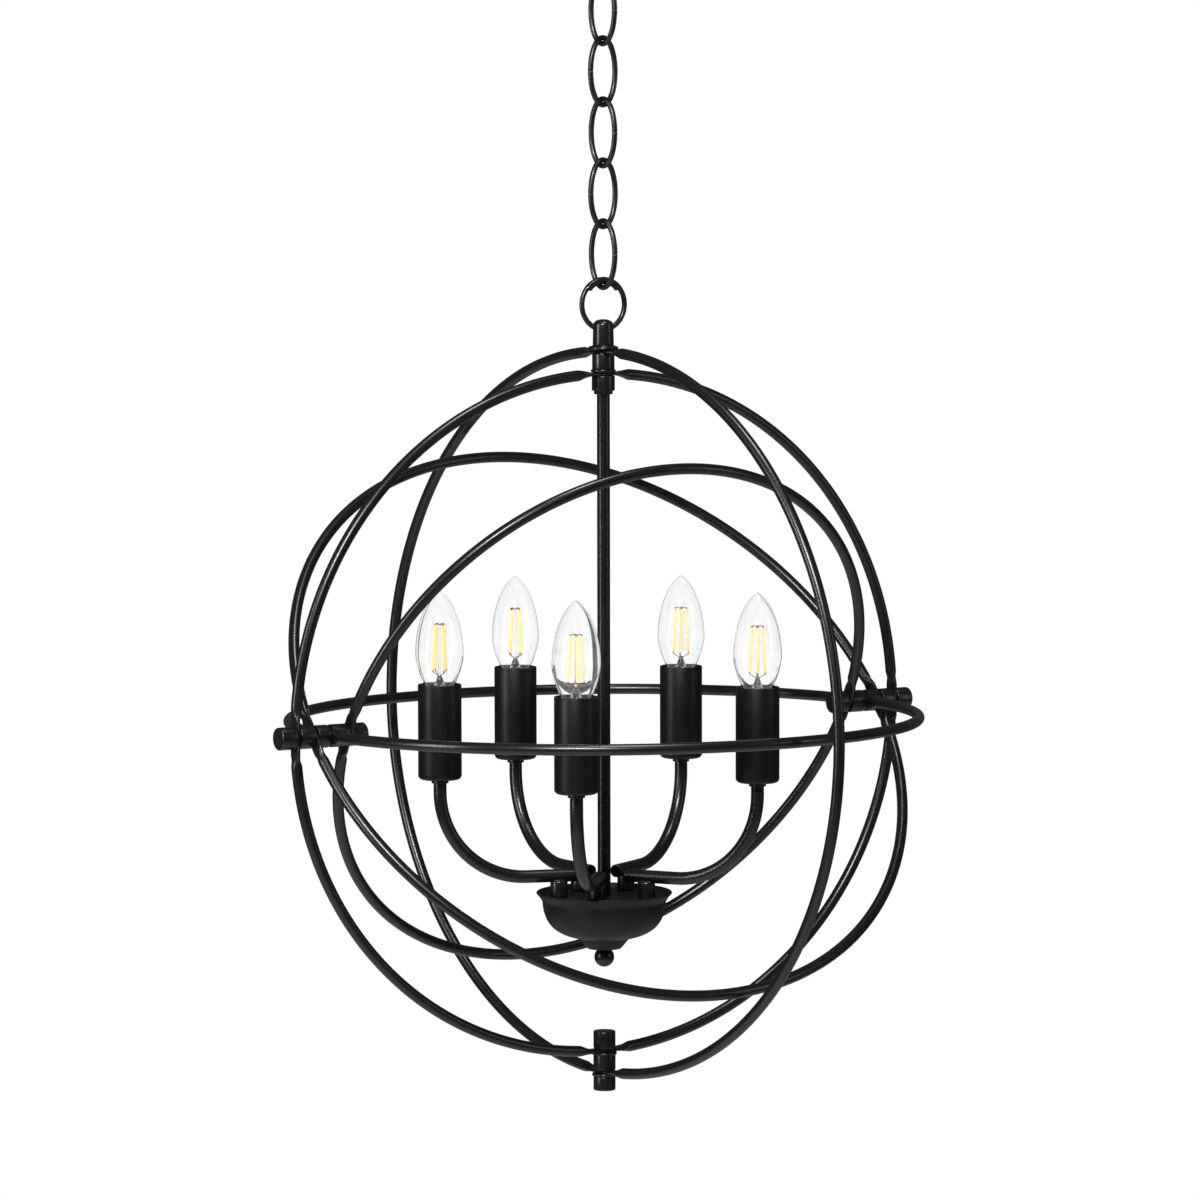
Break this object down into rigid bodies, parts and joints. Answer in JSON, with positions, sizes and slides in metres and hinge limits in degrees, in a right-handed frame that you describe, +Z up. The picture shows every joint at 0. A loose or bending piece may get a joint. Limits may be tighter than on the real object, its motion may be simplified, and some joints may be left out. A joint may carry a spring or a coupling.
{
  "type": "orb chandelier",
  "caption": "Black metal chandelier: candle lamps on a dish inside an orb of nested rings that turn and tilt, hung by a chain from a ceiling canopy.",
  "frame": {"origin": "on the ceiling, at the middle between the two screw slots of the crossbar", "axes": "+Z up along the chain and stem, +X along the pins that the inner rings tilt on"},
  "size_m": [0.539, 0.5182, 0.8775],
  "materials": {
    "black_coat": "satin black powder coat with a fine grain",
    "black_chain": "satin black coat on welded wire",
    "black_pressing": "satin black powder coat on spun and pressed sheet",
    "black_sleeve": "satin black powder coat, smoother than the rings",
    "zinc_steel": "bright zinc plate",
    "holder_plastic": "moulded black phenolic",
    "bulb_cap": "nickel-plated screw cap",
    "bulb_glass": "clear thin glass",
    "stem_glass": "clear glass",
    "filament": "yellow coated filament sticks"
  },
  "bodies": {
    "ceiling_fitting": {"canopy": "black_pressing", "ceiling_crossbar": "zinc_steel", "ceiling_locknut": "zinc_steel", "ceiling_loop": "black_coat", "ceiling_nipple": "zinc_steel"},
    "link_5": {"chain_link_5": "black_chain"},
    "link_4": {"chain_link_4": "black_chain"},
    "link_3": {"chain_link_3": "black_chain"},
    "link_2": {"chain_link_2": "black_chain"},
    "link_1": {"chain_link_1": "black_chain"},
    "lamp_frame": {"arm_nuts": "zinc_steel", "ball_finial": "black_coat", "bottom_pin": "zinc_steel", "bulb_bases": "bulb_cap", "bulb_filaments": "filament", "bulb_glass_1": "bulb_glass", "bulb_glass_2": "bulb_glass", "bulb_glass_3": "bulb_glass", "bulb_glass_4": "bulb_glass", "bulb_glass_5": "bulb_glass", "bulb_stems": "stem_glass", "centre_rod": "zinc_steel", "dish": "black_pressing", "dish_plate": "black_pressing", "frame_ring": "black_coat", "hanging_loop": "black_coat", "hub_nipple": "zinc_steel", "inner_pin_caps": "black_coat", "inner_tilt_spacers": "black_coat", "lamp_arm_1": "black_coat", "lamp_arm_2": "black_coat", "lamp_arm_3": "black_coat", "lamp_arm_4": "black_coat", "lamp_arm_5": "black_coat", "lampholders": "holder_plastic", "loop_flange": "black_coat", "middle_tilt_spacers": "black_coat", "outer_pin_caps": "black_coat", "outer_tilt_spacers": "black_coat", "pole_caps": "black_coat", "pole_spacers": "black_coat", "pole_washers": "black_coat", "sleeve_washers": "black_coat", "socket_sleeves": "black_sleeve", "stem": "black_coat", "stem_collar": "black_coat", "tilt_pins": "zinc_steel"},
    "outer_ring": {"outer_ring": "black_coat"},
    "large_ring": {"large_tilt_ring": "black_coat"},
    "middle_ring": {"middle_tilt_ring": "black_coat"},
    "small_ring": {"small_tilt_ring": "black_coat"}
  },
  "joints": [
    {"name": "link_5_swing", "type": "hinge", "parent": "ceiling_fitting", "child": "link_5", "pos_m": [0, 0, -0.07165], "axis": [0.9781, 0.2079, 0], "range_deg": [-15, 15]},
    {"name": "link_4_swing", "type": "hinge", "parent": "link_5", "child": "link_4", "pos_m": [0, 0, -0.1148], "axis": [-0.2079, 0.9781, 0], "range_deg": [-15, 15]},
    {"name": "link_3_swing", "type": "hinge", "parent": "link_4", "child": "link_3", "pos_m": [0, 0, -0.1587], "axis": [0.9781, 0.2079, 0], "range_deg": [-15, 15]},
    {"name": "link_2_swing", "type": "hinge", "parent": "link_3", "child": "link_2", "pos_m": [0, 0, -0.2026], "axis": [-0.2079, 0.9781, 0], "range_deg": [-15, 15]},
    {"name": "link_1_swing", "type": "hinge", "parent": "link_2", "child": "link_1", "pos_m": [0, 0, -0.2465], "axis": [0.9781, 0.2079, 0], "range_deg": [-15, 15]},
    {"name": "lamp_frame_swing", "type": "hinge", "parent": "link_1", "child": "lamp_frame", "pos_m": [0, 0, -0.2904], "axis": [-0.2079, 0.9781, 0], "range_deg": [-15, 15]},
    {"name": "outer_ring_turn", "type": "hinge", "parent": "lamp_frame", "child": "outer_ring", "pos_m": [0, 0, -0.6034], "axis": [0, 0, 1], "range_deg": [-93.4, 78.6]},
    {"name": "large_ring_tilt", "type": "hinge", "parent": "lamp_frame", "child": "large_ring", "pos_m": [0, 0, -0.6034], "axis": [1, 0, 0], "range_deg": [-134.7, 36.3]},
    {"name": "middle_ring_tilt", "type": "hinge", "parent": "lamp_frame", "child": "middle_ring", "pos_m": [0, 0, -0.6034], "axis": [1, 0, 0], "range_deg": [-85, 86]},
    {"name": "small_ring_tilt", "type": "hinge", "parent": "lamp_frame", "child": "small_ring", "pos_m": [0, 0, -0.6034], "axis": [1, 0, 0], "range_deg": [-24.8, 146.2]}
  ]
}
